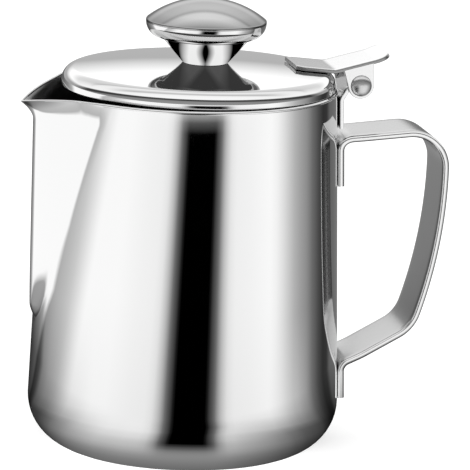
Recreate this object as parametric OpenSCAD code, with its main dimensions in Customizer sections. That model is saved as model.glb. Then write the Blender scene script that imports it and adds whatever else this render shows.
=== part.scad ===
// Hot milk jug with a hinged lid, in polished stainless steel.
// The middle of the base is the origin. The spout points to -X and the handle to +X.

/* [Jug] */
// Radius of the jug at the top of its rounded base
base_r = 52.5; // [47:0.5:60]
// Radius of the wall just under the rim
rim_wall_r = 48.8; // [45:0.2:54]
// Height of the middle of the rolled rim above the table
rim_z = 122.4; // [108:0.2:150]
// Radius of the rounded corner between base and wall
corner_r = 16.5; // [8:0.5:22]
// Thickness of the drawn steel sheet
sheet_t = 0.8; // [0.6:0.1:1.1]
// Radius of the bead rolled round the rim
bead_r = 0.6; // [0.6:0.1:1]

/* [Spout] */
// How far the tip of the lip stands from the jug's axis
lip_reach = 57.8; // [55.5:0.2:62]
// How far the tip of the lip lies below the middle of the rim
lip_drop = 4.5; // [3:0.1:9]
// Height over which the lip curls outwards
lip_curl_h = 6.5; // [4:0.5:10]
// How far the pressed keel under the lip stands from the jug's axis
keel_reach = 53.4; // [52.6:0.1:55]
// Height at which the pressed flutes run out on the wall
flute_z = 43.5; // [30:0.5:60]
// Height over which the keel rises out of the wall
keel_rise = 7; // [4:0.5:12]
// Half of the angle that the flutes cover at the rim
flute_angle = 45; // [38:1:50]

/* [Handle] */
// Width of the handle's strip
handle_w = 23.6; // [18:0.2:26]
// Thickness of the handle's strip
handle_t = 2.3; // [1.8:0.1:3]
// Distance from the jug's widest wall to the middle of the grip
finger_gap = 33.5; // [28:0.5:42]
// How far the lower end of the upper flange lies below the rim
handle_drop = 32; // [30:0.2:38]
// Length of the upper flange
upper_flange_h = 12; // [9:0.5:15]
// Length of the lower flange
lower_flange_h = 9; // [6:0.5:12]
// Slope of the upper arm
arm_rise = 4.9; // [0:0.1:10]
// Slope of the lower arm
heel_slope = 28.7; // [22:0.1:34]
// Bend radius between the upper arm and the grip
corner_bend_r = 12; // [9:0.5:16]
// Radius of the grip's long curve
grip_r = 160; // [130:5:220]
// Height of the grip's long curve
grip_h = 50; // [42:0.5:56]
// Bend radius between the grip and the lower arm
heel_bend_r = 13; // [8:0.5:16]
// Bend radius where an arm turns into its flange
flange_bend_r = 4; // [3:0.5:5]

/* [Hinge] */
// How far the pin lies outside the wall at the rim
pin_out = 6.9; // [6.2:0.1:8.5]
// How far the pin lies above the middle of the rim
pin_up = 2.1; // [1.4:0.1:3]
// Radius of the pin
pin_r = 1.75; // [1.2:0.05:2]
// Radius of the pin's domed heads
pin_head_r = 3.6; // [2.8:0.1:3.9]
// Height of the pin's domed heads
pin_head_h = 1.8; // [1:0.1:2.2]
// Thickness of the bracket's strip
bracket_t = 1.4; // [1:0.1:1.6]
// Height of the part of the bracket that is welded to the wall
bracket_h = 10; // [7:0.5:14]
// How far below the rim the bracket leaves the wall
bracket_drop = 2.8; // [2.4:0.1:5]

/* [Lid] */
// Radius of the lid
lid_r = 46; // [44.5:0.1:47]
// How far the lid's middle lies from the jug's axis, towards the hinge
lid_shift = 2.4; // [1.6:0.1:2.6]
// Width of the lid's rounded shoulder
lid_edge_r = 4; // [3:0.1:5]
// Rise of the lid's dome above its shoulder
dome_rise = 2.2; // [1.2:0.1:4]
// Depth of the ring inside the lid, below the lid's edge
skirt_depth = 1.7; // [1.5:0.1:5]
// Width of the hinge leaf
leaf_w = 21; // [18:0.2:23]
// Thickness of the hinge leaf
leaf_t = 1.3; // [1:0.1:1.5]
// How far the leaf reaches over the lid from its edge
leaf_lap = 13.4; // [10:0.1:18]
// Slope of the leaf behind the lid
leaf_slope = 14; // [12:0.1:20]
// Length of the straight part of the leaf behind the lid
leaf_run = 13; // [11:0.1:15]
// Radius of the ears round the pin
ear_r = 4.4; // [4:0.1:4.8]
// Radius of the curve at the thumb end
thumb_r = 16; // [12:0.5:24]
// Turn of the curve at the thumb end
thumb_turn = 20; // [10:0.5:26]

/* [Knob] */
// How far the knob stands from the lid's middle, towards the hinge
knob_shift = 1.9; // [0:0.1:4]
// Radius of the knob's foot
foot_r = 8.2; // [7:0.1:10]
// Height of the knob's cone
cone_h = 8.4; // [6:0.2:11]
// Radius at the top of the cone
cone_r = 15.1; // [12.5:0.1:17]
// Radius of the knob's disc
disc_r = 20.2; // [18.5:0.1:24]
// Height of the rounded rim under the disc
disc_h = 5.3; // [4:0.1:7]
// Rise of the disc's dome
cap_rise = 7.1; // [4:0.1:9]
// Radius of the boss in the knob's foot
boss_r = 5; // [4:0.1:5.6]
// Height of the boss in the knob's foot
boss_h = 8; // [6:0.2:10]
// Radius of the screw's shank
screw_r = 2; // [1.5:0.1:2.5]
// Radius of the screw's head
screw_head_r = 3.8; // [3.2:0.1:4.2]
// Height of the screw's head
screw_head_h = 2.2; // [1.6:0.1:3]
// Radius of the washer under the lid
washer_r = 4.6; // [4.3:0.1:6]
// Thickness of the washer under the lid
washer_t = 0.8; // [0.5:0.1:1.2]

/* [Hidden] */
$fn = 96;

// Gap left where a strip is welded to a curved sheet
weld_gap = 0.08;
// Gap between the closed lid and the rolled rim
seat_gap = 1.3;
// Gap between the lid's ring and the inside of the rim
mouth_gap = 0.4;
// How far the lid's ring is set in from the lid's edge
ring_inset = 2.4;
// Radial clearance of the pin in the bracket, where it turns
turn_gap = 0.06;
// Radial clearance of a pin or screw that is held tight
tight_gap = 0.02;
// Gap between the bracket's barrel and each ear
side_gap = 0.3;
// How far a cut runs past the face that it opens
overrun = 1;

// Facets round a half turn of a bead, and along a bend
bead_steps = 8;
bend_steps = 8;
corner_steps = 6;
dome_steps = 14;

// Sheet metal strips: a path is a list of runs and bends in one plane

function along(angle) = [cos(angle), sin(angle)];
function left_of(angle) = [-sin(angle), cos(angle)];

// Place and heading after turning through an angle, to the left where it is positive
function turned(at, heading, r, turn) =
    let (side = sign(turn))
    [at + side * r * (left_of(heading) - left_of(heading + turn)), heading + turn];

// Places and headings along a path of pieces, each ["run", length] or ["bend", radius, turn]
function trace(pieces, at, heading, i = 0) =
    i == len(pieces) ? [[at, heading]] :
    let (piece = pieces[i])
    piece[0] == "run"
        ? concat([[at, heading]], trace(pieces, at + piece[1] * along(heading), heading, i + 1))
        : let (end = turned(at, heading, piece[1], piece[2]))
          concat(
              [for (k = [0 : bend_steps - 1]) turned(at, heading, piece[1], piece[2] * k / bend_steps)],
              trace(pieces, end[0], end[1], i + 1));

function backwards(list) = [for (i = [len(list) - 1 : -1 : 0]) list[i]];

// Outline of a strip of thickness t that follows a traced path
function strip_outline(spots, t) = concat(
    [for (s = spots) s[0] + t / 2 * left_of(s[1])],
    backwards([for (s = spots) s[0] - t / 2 * left_of(s[1])]));

// A strip of width w, bent along a path in the XZ plane and centred on Y
module bent_strip(spots, t, w) {
    translate([0, w / 2, 0])
        rotate([90, 0, 0])
            linear_extrude(w)
                polygon(strip_outline(spots, t));
}

// Shape of the jug's wall

wall_lean = atan((base_r - rim_wall_r) / (rim_z - corner_r));
function wall_r(z) = base_r - (z - corner_r) * tan(wall_lean);
function clip(x) = min(1, max(0, x));
function ease(x) = clip(x) * clip(x) * (3 - 2 * clip(x));
function mix(a, b, share) = a + (b - a) * share;

// Shares of the wall's height at which it is measured, closer where the flutes start and the lip curls
wall_shares = [0, 0.1, 0.2, 0.25, 0.28, 0.31, 0.36, 0.45, 0.55, 0.65, 0.75, 0.84, 0.9, 0.93, 0.95, 0.97, 0.985, 1];
// How the flutes widen with height, how round the keel is, and how the beak narrows
flute_power_share = 0.7;
keel_round_share = 0.12;
beak_power = 1.6;
// Angles over which the beak, the end of the bead and the fine facets reach
beak_angle = 30;
bead_start = 34;
bead_full = 49;
fine_angle = 52;
narrow_angle = 6;
flute_facets = 12;
keel_crowding = 1.3;
side_facets = 3;
round_facets = 22;

flute_share = (flute_z - corner_r) / (rim_z - corner_r);
keel_share = keel_rise / (rim_z - corner_r);
function share_z(share) = mix(corner_r, rim_z, share);
function flute_half(share) = flute_angle * pow(clip((share - flute_share) / (1 - flute_share)), flute_power_share);
function keel_x(share) = mix(wall_r(share_z(share)), keel_reach, ease((share - flute_share) / keel_share));

// Radius of the flat-sided flute, with the keel rounded between its two sides
function flute_r(angle, share) =
    let (r = wall_r(share_z(share)), half = flute_half(share), keel = keel_x(share), k = keel_round_share)
    abs(angle) >= half ? r :
    let (
        sharp = keel * (1 - k * cos(half)) / (1 - keel * k / r),
        round_off = k * sin(half) * (1 - abs(angle) / half),
        across = sqrt(pow(sin(angle), 2) + pow(round_off, 2))
    )
    sharp * r * sin(half) / (r * sin(half) * cos(angle) + (sharp - r * cos(half)) * across);

// The lip's edge: its height, its distance from the axis, and the radius of its bead
function edge_z(angle) = rim_z - lip_drop * pow(clip(1 - abs(angle) / flute_angle), 2);
function edge_r(angle) = mix(rim_wall_r, lip_reach, pow(clip(1 - abs(angle) / beak_angle), beak_power));
function edge_bead(angle) = mix(sheet_t / 2, bead_r, ease((abs(angle) - bead_start) / (bead_full - bead_start)));
function bead_from(angle) = -acos(clip(sheet_t / 2 / edge_bead(angle)));
function wall_top_z(angle) = edge_z(angle) + edge_bead(angle) * sin(bead_from(angle));

// A place on the outer wall, at an angle from the spout and a share of the wall's height
function wall_spot(angle, share) =
    let (
        z = mix(corner_r, wall_top_z(angle), share),
        curl = pow(clip(1 - (wall_top_z(angle) - z) / lip_curl_h), 2)
    )
    [flute_r(angle, share) + curl * (edge_r(angle) - flute_r(angle, 1)), z];

// Angles at which the shell is measured on one side, following the edge of the flute
function half_angles(share) =
    let (half = max(narrow_angle, flute_half(share)))
    concat(
        [for (i = [0 : flute_facets - 1]) half * pow(i / flute_facets, keel_crowding)],
        [for (i = [0 : side_facets - 1]) mix(half, fine_angle, i / side_facets)],
        [for (i = [0 : round_facets]) mix(fine_angle, 180, i / round_facets)]);
function ring_angles(share) =
    let (half = half_angles(share), n = len(half))
    concat(half, [for (i = [n - 2 : -1 : 1]) -half[i]]);

// Rings of the shell, up the outside, round the bead and down the inside, as lists of [angle, r, z]
function corner_ring(angle_up, r) =
    [for (a = ring_angles(0)) [a, base_r - corner_r + r * cos(angle_up), corner_r + r * sin(angle_up)]];
function wall_ring(share, inset) =
    [for (a = ring_angles(share)) let (s = wall_spot(a, share)) [a, s[0] - inset, s[1]]];
function bead_ring(part) =
    [for (a = ring_angles(1))
        let (b = edge_bead(a), from = bead_from(a), turn = mix(from, 180 - from, part))
        [a, edge_r(a) - sheet_t / 2 + b * cos(turn), edge_z(a) + b * sin(turn)]];
corner_turns = [for (i = [0 : corner_steps - 1]) -90 + 90 * i / corner_steps];
shell_rings = concat(
    [for (turn = corner_turns) corner_ring(turn, corner_r)],
    [for (share = wall_shares) wall_ring(share, 0)],
    [for (i = [1 : 2 * bead_steps - 1]) bead_ring(i / (2 * bead_steps))],
    [for (share = backwards(wall_shares)) wall_ring(share, sheet_t)],
    [for (turn = backwards(corner_turns)) corner_ring(turn, corner_r - sheet_t)]);

// A closed solid through rings of equal length, with its first and last ring filled in
module loft(points_by_ring) {
    rings = len(points_by_ring);
    n = len(points_by_ring[0]);
    points = [for (ring = points_by_ring) each ring];
    sides = [for (i = [0 : rings - 2]) for (j = [0 : n - 1])
        let (a = i * n + j, b = i * n + (j + 1) % n)
        each [[a, a + n, b], [b, a + n, b + n]]];
    first = [for (j = [0 : n - 1]) j];
    last = [for (j = [n - 1 : -1 : 0]) (rings - 1) * n + j];
    polyhedron(points, concat(sides, [first, last]));
}

// Deep-drawn shell: flat base, leaning wall, rolled rim and a spout pressed out with a flute on each side
module jug_body() {
    color("silver")
        loft([for (ring = shell_rings) [for (s = ring) [-s[1] * cos(s[0]), -s[1] * sin(s[0]), s[2]]]]);
}

// Path of the handle's strip, from the upper flange's lower end to the lower flange's lower end

flange_from_z = rim_z - handle_drop;
function on_wall_x(z, t) = wall_r(z) + weld_gap + t / 2;
upper_turn = arm_rise - 90 - wall_lean;
upper_bend = turned([on_wall_x(flange_from_z, handle_t), flange_from_z] + upper_flange_h * along(90 + wall_lean),
                    90 + wall_lean, flange_bend_r, upper_turn);
corner_bend = turned([0, 0], arm_rise, corner_bend_r, -90 - arm_rise);
arm_l = (base_r + finger_gap - upper_bend[0].x - corner_bend[0].x) / cos(arm_rise);
grip_turn = asin(grip_h / grip_r);
grip_from = upper_bend[0] + arm_l * along(arm_rise) + corner_bend[0];
grip_to = turned(grip_from, -90, grip_r, -grip_turn);
heel_bend = turned(grip_to[0], grip_to[1], heel_bend_r, -(90 - heel_slope - grip_turn));
toe_turn = 90 - heel_slope + wall_lean;
toe_bend = turned([0, 0], heel_slope - 180, flange_bend_r, toe_turn);
heel_l = (heel_bend[0].x + toe_bend[0].x - on_wall_x(heel_bend[0].y + toe_bend[0].y, handle_t))
    / (cos(heel_slope) + sin(heel_slope) * tan(wall_lean));
handle_path = trace(
    [
        ["run", upper_flange_h], ["bend", flange_bend_r, upper_turn], ["run", arm_l],
        ["bend", corner_bend_r, -90 - arm_rise], ["bend", grip_r, -grip_turn],
        ["bend", heel_bend_r, -(90 - heel_slope - grip_turn)], ["run", heel_l],
        ["bend", flange_bend_r, toe_turn], ["run", lower_flange_h]
    ],
    [on_wall_x(flange_from_z, handle_t), flange_from_z], 90 + wall_lean);

// Share of the wall's roundness that the strip takes on near the wall
hug_reach = 7;
function hug(spot) = ease(1 - (spot.x - on_wall_x(spot.y, handle_t)) / hug_reach);
function sag(y, r) = r - sqrt(r * r - y * y);
edge_facets = 5;
face_facets = 4;
strip_section = [for (side = [1, -1])
    each concat(
        [for (i = [0 : edge_facets])
            let (turn = -90 + 180 * i / edge_facets)
            [side * (handle_w / 2 - handle_t / 2 + handle_t / 2 * cos(turn)), side * handle_t / 2 * sin(turn)]],
        [for (i = [1 : face_facets - 1])
            [side * (handle_w - handle_t) * (1 / 2 - i / face_facets), side * handle_t / 2]])];

// Polished strip with round edges, bent into a D, its two flanges curved to lie on the wall
module handle() {
    color("gainsboro")
        loft([for (spot = handle_path) [for (s = strip_section)
            let (place = spot[0] + s[1] * left_of(spot[1]))
            [place.x - hug(spot[0]) * sag(s[0], wall_r(place.y)), s[0], place.y]]]);
}

// Hinge: a bracket on the wall, a pin, and the leaf that carries the lid

pin_at = [rim_wall_r + pin_out, rim_z + pin_up];
barrel_r = pin_r + turn_gap + bracket_t;
barrel_l = leaf_w - 2 * leaf_t - 2 * side_gap;
bracket_bend_r = 3;
bracket_knee = [on_wall_x(rim_z - bracket_drop, bracket_t), rim_z - bracket_drop];
knee_to_pin = pin_at - bracket_knee;
barrel_mid_r = barrel_r - bracket_t / 2;
bracket_heading = atan2(knee_to_pin.y, knee_to_pin.x) + asin(barrel_mid_r / norm(knee_to_pin));
bracket_turn = bracket_heading - 90 - wall_lean;
knee_cut = bracket_bend_r * tan(-bracket_turn / 2);
bracket_path = trace(
    [
        ["run", bracket_h - knee_cut], ["bend", bracket_bend_r, bracket_turn],
        ["run", sqrt(pow(norm(knee_to_pin), 2) - pow(barrel_mid_r, 2)) - knee_cut]
    ],
    bracket_knee - bracket_h * along(90 + wall_lean), 90 + wall_lean);

module across_pin(r, l) {
    translate([pin_at.x, l / 2, pin_at.y])
        rotate([90, 0, 0])
            cylinder(r = r, h = l);
}

// Strip welded under the rim, its end rolled into the barrel that the pin turns in
module hinge_bracket() {
    color("dimgray")
        difference() {
            union() {
                bent_strip(bracket_path, bracket_t, barrel_l);
                across_pin(barrel_r, barrel_l);
            }
            across_pin(pin_r + turn_gap, barrel_l + 2 * overrun);
        }
}

// Pin through the ears and the barrel, with a domed head on each side
module hinge_pin() {
    head_ball_r = (pow(pin_head_r, 2) + pow(pin_head_h, 2)) / (2 * pin_head_h);
    color("silver")
        union() {
            across_pin(pin_r, leaf_w);
            for (side = [0, 1])
                translate([pin_at.x, 0, pin_at.y])
                    mirror([0, side, 0])
                        translate([0, leaf_w / 2, 0])
                            rotate([-90, 0, 0])
                                intersection() {
                                    translate([0, 0, pin_head_h - head_ball_r])
                                        sphere(r = head_ball_r);
                                    cylinder(r = pin_head_r, h = pin_head_h + overrun);
                                }
        }
}

// Lid: a domed cover with a rounded shoulder, and a ring inside it

lid_z = rim_z + bead_r + seat_gap;
dome_edge_r = lid_r - lid_edge_r;
dome_ball_r = (pow(dome_edge_r, 2) + pow(dome_rise, 2)) / (2 * dome_rise);
edge_slope = asin(dome_edge_r / dome_ball_r);
// The shoulder goes on smoothly from the dome and ends upright
shoulder_r = lid_edge_r / (1 - sin(edge_slope));
dome_edge_z = lid_z + shoulder_r * cos(edge_slope);
dome_top_z = dome_edge_z + dome_rise;
function dome_z(r) = dome_top_z - dome_ball_r + sqrt(pow(dome_ball_r, 2) - r * r);
skirt_r = min(rim_wall_r - sheet_t / 2 - bead_r - lid_shift - mouth_gap, lid_r - ring_inset);
// Height of the cover's underside over a circle of radius r, under the dome or under the shoulder
function under_cover_z(r) =
    r < dome_edge_r
        ? dome_z(r) - sheet_t
        : lid_z + sqrt(pow(shoulder_r - sheet_t, 2) - pow(r - lid_r + shoulder_r, 2));
shoulder_path = trace(
    [["bend", shoulder_r - sheet_t / 2, edge_slope - 90]],
    [dome_edge_r, dome_edge_z] - sheet_t / 2 * left_of(-edge_slope), -edge_slope);
dome_path = [for (i = [0 : dome_steps - 1])
    let (r = dome_edge_r * i / dome_steps)
    [[r, dome_z(r) - sheet_t / 2], -asin(r / dome_ball_r)]];
knob_x = lid_shift + knob_shift;

// Domed cover spun from sheet, its shoulder rounded down to a plain edge
module lid_cover() {
    color("whitesmoke")
        difference() {
            translate([lid_shift, 0, 0])
                rotate_extrude()
                    polygon(strip_outline(concat(dome_path, shoulder_path), sheet_t));
            translate([knob_x, 0, dome_top_z - dome_rise - sheet_t])
                cylinder(r = screw_r + tight_gap, h = dome_rise + sheet_t + overrun);
        }
}

// Ring welded inside the cover, which keeps the lid in the mouth of the jug
module lid_skirt() {
    foot_z = lid_z - skirt_depth;
    top_z = under_cover_z(skirt_r) - weld_gap;
    color("lightgray")
        translate([lid_shift, 0, 0])
            rotate_extrude()
                polygon([
                    [skirt_r, foot_z],
                    [skirt_r, top_z],
                    [skirt_r - sheet_t, top_z],
                    [skirt_r - sheet_t, foot_z]
                ]);
}

// The leaf lies along the dome, then rises over the pin to the thumb end

// The leaf leaves the lid a little before its edge
knee_inset = 1.5;
lap_mid_r = lid_r - knee_inset - leaf_lap / 2;
lap_slope = -asin(lap_mid_r / dome_ball_r);
leaf_bend_r = 5;
leaf_bend_cut = leaf_bend_r * tan((leaf_slope - lap_slope) / 2);
leaf_from = [lid_shift + lap_mid_r, dome_z(lap_mid_r) + weld_gap + leaf_t / 2] - leaf_lap / 2 * along(lap_slope);
leaf_path = trace(
    [
        ["run", leaf_lap - leaf_bend_cut], ["bend", leaf_bend_r, leaf_slope - lap_slope],
        ["run", leaf_run], ["bend", thumb_r, thumb_turn]
    ],
    leaf_from, lap_slope);
leaf_knee = leaf_from + leaf_lap * along(lap_slope);
function leaf_spot(x) = leaf_knee + (x - leaf_knee.x) / cos(leaf_slope) * along(leaf_slope);

// How far the ears reach along the leaf, in front of the pin and behind it, as shares of their radius
ear_front_share = 1.4;
ear_back_share = 0.95;
ear_front = leaf_spot(pin_at.x - ear_front_share * ear_r);
ear_back = leaf_spot(pin_at.x + ear_back_share * ear_r);

// Angle on the ear's round end at which a straight edge from a place on the leaf meets it
function touch_angle(from, side) =
    let (
        gap = pin_at - from,
        d = norm(gap),
        heading = atan2(gap.y, gap.x) + side * asin(ear_r / d),
        meet = from + sqrt(d * d - ear_r * ear_r) * along(heading) - pin_at
    )
    atan2(meet.y, meet.x);
ear_steps = 32;
ear_turn_from = touch_angle(ear_front, -1);
ear_turn_end = touch_angle(ear_back, 1);
ear_turn_to = ear_turn_end < ear_turn_from ? ear_turn_end + 360 : ear_turn_end;
ear_arc = [for (i = [0 : ear_steps]) pin_at + ear_r * along(mix(ear_turn_from, ear_turn_to, i / ear_steps))];
ear_outline = concat([ear_front], ear_arc, [ear_back]);

// Hinge leaf: a plate spot-welded to the lid, two ears bent down beside the barrel, and a thumb end
module lid_leaf() {
    color("lightgray")
        difference() {
            union() {
                bent_strip(leaf_path, leaf_t, leaf_w);
                for (side = [0, 1])
                    mirror([0, side, 0])
                        translate([0, leaf_w / 2, 0])
                            rotate([90, 0, 0])
                                linear_extrude(leaf_t)
                                    polygon(ear_outline);
            }
            across_pin(pin_r + tight_gap, leaf_w + 2 * overrun);
        }
}

// Knob: a hollow spun body with a domed cap, held by a screw through the lid

cone_slope = atan(cone_h / (cone_r - foot_r));
disc_ball_r = (pow(disc_r - cone_r, 2) + pow(disc_h, 2)) / (2 * (disc_r - cone_r));
disc_z = dome_top_z + cone_h + disc_h;
cap_ball_r = (pow(disc_r, 2) + pow(cap_rise, 2)) / (2 * cap_rise);
disc_steps = 6;
// The rounded rim is a part of a circle that ends upright at the disc's edge
disc_turn = acos(1 - (disc_r - cone_r) / disc_ball_r);
disc_path = [for (i = [0 : disc_steps])
    let (turn = -disc_turn + disc_turn * i / disc_steps)
    [[disc_r - disc_ball_r, disc_z] + (disc_ball_r - sheet_t / 2) * along(turn), 90 + turn]];
knob_path = concat(
    [
        [[boss_r + tight_gap, dome_top_z + sheet_t / 2], 0],
        [[foot_r - sheet_t / 2, dome_top_z + sheet_t / 2], cone_slope / 2],
        [[cone_r - sheet_t, dome_top_z + cone_h], cone_slope]
    ],
    [for (i = [1 : disc_steps]) disc_path[i]]);

// Spun body of the knob: foot, cone and rounded rim
module knob_body() {
    color("silver")
        translate([knob_x, 0, 0])
            rotate_extrude()
                polygon(strip_outline(knob_path, sheet_t));
}

// Domed cap that closes the knob's disc
module knob_cap() {
    color("whitesmoke")
        translate([knob_x, 0, 0])
            rotate_extrude()
                polygon(strip_outline([for (i = [0 : dome_steps])
                    let (r = disc_r * i / dome_steps)
                    [
                        [r, disc_z + sheet_t / 2 + cap_rise - cap_ball_r + sqrt(pow(cap_ball_r, 2) - r * r)],
                        i == dome_steps ? 0 : -asin(r / cap_ball_r)
                    ]], sheet_t));
}

// Threaded boss welded into the knob's foot
module knob_boss() {
    color("gray")
        translate([knob_x, 0, dome_top_z])
            difference() {
                cylinder(r = boss_r, h = boss_h);
                translate([0, 0, -overrun])
                    cylinder(r = screw_r + tight_gap, h = boss_h - sheet_t + overrun);
            }
}

washer_z = dome_z(knob_shift + washer_r) - sheet_t - weld_gap - washer_t;

// Plain washer under the lid
module knob_washer() {
    color("gray")
        translate([knob_x, 0, washer_z])
            difference() {
                cylinder(r = washer_r, h = washer_t);
                translate([0, 0, -overrun])
                    cylinder(r = screw_r + turn_gap, h = washer_t + 2 * overrun);
            }
}

// Screw that holds the knob, from below the lid
module knob_screw() {
    shank_l = dome_top_z + boss_h - 2 * sheet_t - washer_z;
    color("darkgray")
        translate([knob_x, 0, washer_z])
            union() {
                cylinder(r = screw_r, h = shank_l);
                translate([0, 0, -screw_head_h])
                    cylinder(r = screw_head_r, h = screw_head_h);
            }
}

jug_body();
handle();
hinge_bracket();
hinge_pin();
lid_cover();
lid_skirt();
lid_leaf();
knob_body();
knob_cap();
knob_boss();
knob_screw();
knob_washer();
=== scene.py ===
from math import acos, asin, atan, atan2, cos, degrees, pi, radians, sin, sqrt, tan

import bmesh
import bpy
import numpy as np
from mathutils import Matrix, Vector


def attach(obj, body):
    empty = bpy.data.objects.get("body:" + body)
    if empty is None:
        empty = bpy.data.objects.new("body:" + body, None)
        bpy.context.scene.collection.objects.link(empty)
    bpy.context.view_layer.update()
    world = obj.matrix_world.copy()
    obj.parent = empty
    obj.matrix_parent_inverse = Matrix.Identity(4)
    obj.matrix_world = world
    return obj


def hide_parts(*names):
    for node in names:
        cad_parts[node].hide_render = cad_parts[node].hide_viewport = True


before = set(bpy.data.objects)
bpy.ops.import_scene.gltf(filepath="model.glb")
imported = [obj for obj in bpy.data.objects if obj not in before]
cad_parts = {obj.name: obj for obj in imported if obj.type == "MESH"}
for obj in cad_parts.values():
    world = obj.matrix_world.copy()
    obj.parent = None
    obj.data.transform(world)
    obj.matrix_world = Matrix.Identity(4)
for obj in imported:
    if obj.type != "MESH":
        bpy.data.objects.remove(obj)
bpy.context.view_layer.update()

# ---- Jug body ----
# One deep-drawn shell of stainless steel sheet, 0.8 mm thick. The rim is rolled into a bead, and the
# lip is pressed out between two long flutes. It is mirror-polished outside and satin inside.
sheet_t = 0.0008
base_r = 0.0525
rim_wall_r = 0.0488
rim_z = 0.1224
corner_r = 0.0165
bead_r = 0.0006
lip_reach = 0.0578
lip_drop = 0.0045
lip_curl_h = 0.0065
lip_sharpness = 1.6
keel_reach = 0.0534
keel_rise = 0.007
keel_rounding = 0.12
flute_z = 0.0435
flute_angle = radians(45)
flute_spread = 0.7
crease_angle = radians(2.2)
beak_angle = radians(30)
bead_start = radians(34)
bead_full = radians(49)
wall_h = rim_z - corner_r
flute_share = (flute_z - corner_r) / wall_h
keel_share = keel_rise / wall_h


def ease(x):
    x = np.clip(x, 0, 1)
    return x * x * (3 - 2 * x)


def wall_r(z):
    return base_r - (z - corner_r) * (base_r - rim_wall_r) / wall_h


def sharp_flute_r(angle, share):
    r = wall_r(corner_r + share * wall_h)
    half = flute_angle * np.clip((share - flute_share) / (1 - flute_share), 0, 1) ** flute_spread
    if half < 1e-6:
        return np.full_like(angle, r)
    keel = r + (keel_reach - r) * ease((share - flute_share) / keel_share)
    sharp = keel * (1 - keel_rounding * cos(half)) / (1 - keel * keel_rounding / r)
    round_off = keel_rounding * sin(half) * (1 - np.abs(angle) / half)
    across = np.sqrt(np.sin(angle) ** 2 + round_off ** 2)
    flute = sharp * r * sin(half) / (r * sin(half) * np.cos(angle) + (sharp - r * cos(half)) * across)
    return np.where(np.abs(angle) >= half, r, flute)


def flute_r(angle, share):
    # The press leaves each crease with a small radius, so the outline is averaged over it.
    return sum(sharp_flute_r(angle + crease_angle * k / 4, share) for k in range(-4, 5)) / 9


def edge_z(angle):
    return rim_z - lip_drop * np.clip(1 - np.abs(angle) / flute_angle, 0, 1) ** 2


def edge_r(angle):
    beak = np.clip(1 - np.abs(angle) / beak_angle, 0, 1) ** lip_sharpness
    return rim_wall_r + (lip_reach - rim_wall_r) * beak


def edge_bead(angle):
    grown = ease((np.abs(angle) - bead_start) / (bead_full - bead_start))
    return sheet_t / 2 + (bead_r - sheet_t / 2) * grown


def wall_spot(angle, share):
    bead = edge_bead(angle)
    top = edge_z(angle) - np.sqrt(np.maximum(bead ** 2 - (sheet_t / 2) ** 2, 0))
    z = corner_r + share * (top - corner_r)
    curl = np.clip(1 - (top - z) / lip_curl_h, 0, 1) ** 2
    return flute_r(angle, share) + curl * (edge_r(angle) - flute_r(angle, 1.0)), z


def smooth_mesh(name, rings, caps=True, sharp=0.6):
    # Joins equal closed rings of points into one skin with even, smooth faces.
    bm = bmesh.new()
    rows = [[bm.verts.new(p) for p in ring] for ring in rings]
    n = len(rows[0])
    for low, high in zip(rows, rows[1:]):
        for j in range(n):
            k = (j + 1) % n
            bm.faces.new([low[j], low[k], high[k], high[j]])
    if caps:
        bm.faces.new(rows[0][::-1])
        bm.faces.new(rows[-1])
    bmesh.ops.remove_doubles(bm, verts=bm.verts, dist=1e-7)
    bmesh.ops.recalc_face_normals(bm, faces=bm.faces)
    for face in bm.faces:
        face.smooth = len(face.verts) < 5
    for edge in bm.edges:
        if len(edge.link_faces) == 2 and edge.calc_face_angle(0) > sharp:
            edge.smooth = False
    mesh = bpy.data.meshes.new(name)
    bm.to_mesh(mesh)
    bm.free()
    piece = bpy.data.objects.new(name, mesh)
    bpy.context.scene.collection.objects.link(piece)
    return piece


def linear(hex_colour):
    parts = [int(hex_colour[i:i + 2], 16) / 255 for i in (1, 3, 5)]
    return tuple(p / 12.92 if p <= 0.04045 else ((p + 0.055) / 1.055) ** 2.4 for p in parts) + (1.0,)


def add_node(tree, kind, inputs=None, stops=(), **settings):
    # An input is a number, a colour, an output, or a node, which stands for its first output.
    # The stops of a colour ramp are pairs of a position and a grey or a colour.
    node = tree.nodes.new(kind)
    for key, value in settings.items():
        setattr(node, key, value)
    for socket, value in (inputs or {}).items():
        if isinstance(value, bpy.types.Node):
            value = value.outputs[0]
        if isinstance(value, bpy.types.NodeSocket):
            tree.links.new(value, node.inputs[socket])
        else:
            node.inputs[socket].default_value = value
    if stops:
        points = node.color_ramp.elements
        while len(points) < len(stops):
            points.new(0.5)
        for point, (position, tone) in zip(points, stops):
            point.position = position
            point.color = tone if isinstance(tone, tuple) else (tone, tone, tone, 1)
    return node


def blank_material(name):
    material = bpy.data.materials.new(name)
    material.use_nodes = True
    material.node_tree.nodes.clear()
    return material, material.node_tree


haze_patch = 0.009
ripple_l = 0.016
fine_relief = 0.00002


def polished_steel(name, colour, smoothest, roughest, ripple):
    # 18/10 stainless steel, buffed. The buff leaves a faint haze in soft patches about 9 mm across,
    # and the drawn sheet has a very slight ripple, 16 mm long, that bends the reflections.
    material, tree = blank_material(name)
    place = add_node(tree, "ShaderNodeTexCoord").outputs["Object"]
    haze = add_node(tree, "ShaderNodeTexNoise", {"Vector": place, "Scale": 1 / haze_patch, "Detail": 3.0})
    rough = add_node(tree, "ShaderNodeMapRange", {"Value": haze, "To Min": smoothest, "To Max": roughest})
    wave = add_node(tree, "ShaderNodeTexNoise", {"Vector": place, "Scale": 1 / ripple_l, "Detail": 1.0})
    bump = add_node(tree, "ShaderNodeBump", {"Height": wave, "Strength": ripple, "Distance": fine_relief})
    steel = add_node(tree, "ShaderNodeBsdfPrincipled", {
        "Base Color": linear(colour), "Metallic": 1.0, "Roughness": rough, "Normal": bump})
    add_node(tree, "ShaderNodeOutputMaterial", {"Surface": steel})
    return material


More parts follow.
